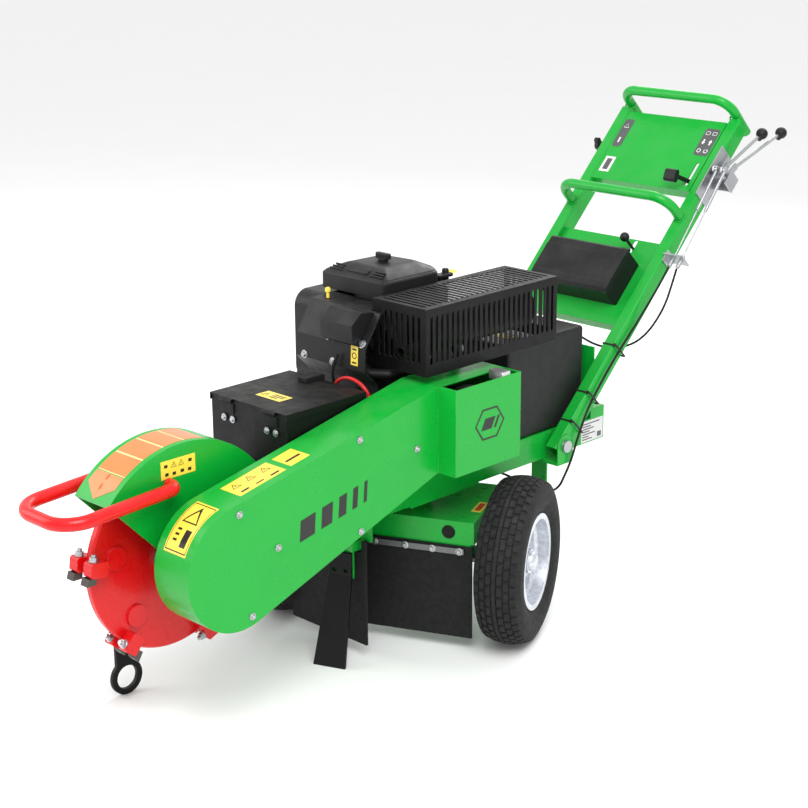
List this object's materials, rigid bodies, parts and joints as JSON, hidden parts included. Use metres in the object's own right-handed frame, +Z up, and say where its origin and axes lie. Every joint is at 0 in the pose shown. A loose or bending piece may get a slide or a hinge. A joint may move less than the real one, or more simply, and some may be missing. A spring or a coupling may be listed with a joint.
{
  "type": "stump grinder",
  "caption": "Walk-behind stump grinder: belt-driven toothed cutting wheel under a round guard, V-twin engine, swinging wheel axle and sloping handle frame.",
  "frame": {"origin": "on the ground under the middle of the machine's overall box", "axes": "+Z up, +Y along the machine towards the handles, +X towards the belt side"},
  "size_m": [0.8264, 2.3289, 1.2508],
  "materials": {
    "green_paint": "gloss",
    "red_paint": "gloss",
    "black_paint": "satin",
    "engine_metal": "matt black castings",
    "bright_steel": "bright",
    "zinc": "zinc plated",
    "carbide": "sintered carbide",
    "cast_pulley": "machined",
    "black_plastic": "moulded",
    "tyre": "ribbed rubber",
    "rubber": "rubber sheet",
    "galvanised": "galvanised"
  },
  "bodies": {
    "chassis": {"air_cleaner_cover": "black_plastic", "arm_left": "green_paint", "arm_right": "green_paint", "battery": "black_plastic", "battery_box": "black_paint", "belt_cover": "green_paint", "boom": "green_paint", "cables": "rubber", "console_panel": "green_paint", "crankcase": "engine_metal", "cutter_guard": "green_paint", "cylinder_shrouds": "black_plastic", "cylinders": "engine_metal", "debris_flap": "rubber", "drive_belts": "rubber", "engine_deck": "green_paint", "fan_housing": "black_plastic", "frame_bolts": "zinc", "front_shelf": "green_paint", "fuel_tank": "black_plastic", "handlebars": "green_paint", "lever_bracket": "zinc", "muffler": "black_paint", "muffler_guard": "black_paint", "prop_blade": "black_paint", "ring_strut": "black_paint", "shaft_bearings": "bright_steel", "side_beams": "green_paint", "swing_cable": "rubber", "swing_pin": "zinc", "tool_box": "black_plastic", "tool_tray": "green_paint"},
    "guard_handle": {"guard_handle": "red_paint"},
    "cutter": {"cutter_disc": "red_paint", "cutter_pockets": "red_paint", "cutter_teeth": "carbide", "cutter_bolts": "zinc", "cutter_shaft": "bright_steel", "driven_pulley": "cast_pulley"},
    "crank": {"crankshaft": "bright_steel", "drive_pulley": "cast_pulley"},
    "air_cleaner_knob": {"air_cleaner_knob": "black_plastic"},
    "battery_lid": {"battery_lid": "black_paint"},
    "lid_latch": {"lid_latch": "rubber"},
    "fuel_cap": {"fuel_cap": "black_plastic"},
    "axle": {"axle_housing": "green_paint", "axle_shaft": "bright_steel", "skirt": "rubber"},
    "wheel_left": {"tyre_left": "tyre", "rim_left": "galvanised"},
    "wheel_right": {"tyre_right": "tyre", "rim_right": "galvanised"},
    "tool_box_lid": {"tool_box_lid": "black_plastic"},
    "brake_lever": {"brake_lever": "zinc"},
    "swing_lever": {"swing_lever": "zinc"},
    "brake_pull_rod": {"brake_pull_rod": "zinc"},
    "swing_pull_rod": {"swing_pull_rod": "zinc"},
    "throttle_lever": {"throttle_lever": "black_plastic"},
    "clamp_knob": {"clamp_knob": "black_plastic"},
    "lock_lever": {"lock_lever": "black_plastic"}
  },
  "joints": [
    {"name": "axle_swing", "type": "hinge", "parent": "chassis", "child": "axle", "pos_m": [0, -0.077, 0.33], "axis": [0, 0, 1], "range_deg": [-48.8, 0]},
    {"name": "wheel_left_spin", "type": "hinge", "parent": "axle", "child": "wheel_left", "pos_m": [0.28504, 0.0523, 0.21], "axis": [0.9107, 0.4131, 0], "continuous": true},
    {"name": "wheel_right_spin", "type": "hinge", "parent": "axle", "child": "wheel_right", "pos_m": [-0.28504, -0.2063, 0.21], "axis": [0.9107, 0.4131, 0], "continuous": true},
    {"name": "cutter_spin", "type": "hinge", "parent": "chassis", "child": "cutter", "pos_m": [0.02, -0.822, 0.41], "axis": [1, 0, 0], "continuous": true},
    {"name": "crank_spin", "type": "hinge", "parent": "chassis", "child": "crank", "pos_m": [0.02, -0.077, 0.6], "axis": [1, 0, 0], "continuous": true},
    {"name": "guard_handle_fold", "type": "hinge", "parent": "chassis", "child": "guard_handle", "pos_m": [0.02, -0.865, 0.596], "axis": [-1, 0, 0], "range_deg": [0, 90]},
    {"name": "battery_lid_hinge", "type": "hinge", "parent": "chassis", "child": "battery_lid", "pos_m": [0, -0.5625, 0.685], "axis": [1, 0, 0], "range_deg": [0, 100]},
    {"name": "latch_hinge", "type": "hinge", "parent": "battery_lid", "child": "lid_latch", "pos_m": [-0.04, -0.358, 0.697], "axis": [1, 0, 0], "range_deg": [0, 100]},
    {"name": "fuel_cap_turn", "type": "hinge", "parent": "chassis", "child": "fuel_cap", "pos_m": [-0.07, 0.353, 0.725], "axis": [0, 0, 1], "range_deg": [0, 90]},
    {"name": "air_cleaner_knob_turn", "type": "hinge", "parent": "chassis", "child": "air_cleaner_knob", "pos_m": [-0.062, -0.065, 0.942], "axis": [0, 0, 1], "range_deg": [0, 720]},
    {"name": "tool_box_lid_hinge", "type": "hinge", "parent": "chassis", "child": "tool_box_lid", "pos_m": [0, 0.67125, 0.86995], "axis": [-1, 0, 0], "range_deg": [0, 100]},
    {"name": "brake_lever_pull", "type": "hinge", "parent": "chassis", "child": "brake_lever", "pos_m": [0.219, 0.9396, 1.04991], "axis": [-1, 0, 0], "range_deg": [0, 25]},
    {"name": "swing_lever_pull", "type": "hinge", "parent": "chassis", "child": "swing_lever", "pos_m": [0.245, 0.9396, 1.04991], "axis": [-1, 0, 0], "range_deg": [0, 25]},
    {"name": "brake_rod_slide", "type": "slide", "parent": "chassis", "child": "brake_pull_rod", "axis": [0, 0.6444, 0.7647], "range_m": [0, 0.0135]},
    {"name": "swing_rod_slide", "type": "slide", "parent": "chassis", "child": "swing_pull_rod", "axis": [0, 0.6444, 0.7647], "range_m": [0, 0.0135]},
    {"name": "throttle_move", "type": "hinge", "parent": "chassis", "child": "throttle_lever", "pos_m": [0.148, 0.9502, 1.00678], "axis": [-1, 0, 0], "range_deg": [0, 48]},
    {"name": "clamp_knob_turn", "type": "hinge", "parent": "chassis", "child": "clamp_knob", "pos_m": [-0.22, 0.97707, 1.07607], "axis": [-1, 0, 0], "range_deg": [0, 720]},
    {"name": "lock_lever_move", "type": "hinge", "parent": "chassis", "child": "lock_lever", "pos_m": [0.081, 0.75716, 0.84485], "axis": [1, 0, 0], "range_deg": [-20, 20]}
  ],
  "couplings": [
    {"joint": "crank_spin", "follows": "cutter_spin", "ratio": 1.7179},
    {"joint": "brake_rod_slide", "follows": "brake_lever_pull", "m_per_rad": 0.03},
    {"joint": "swing_rod_slide", "follows": "swing_lever_pull", "m_per_rad": 0.03}
  ]
}
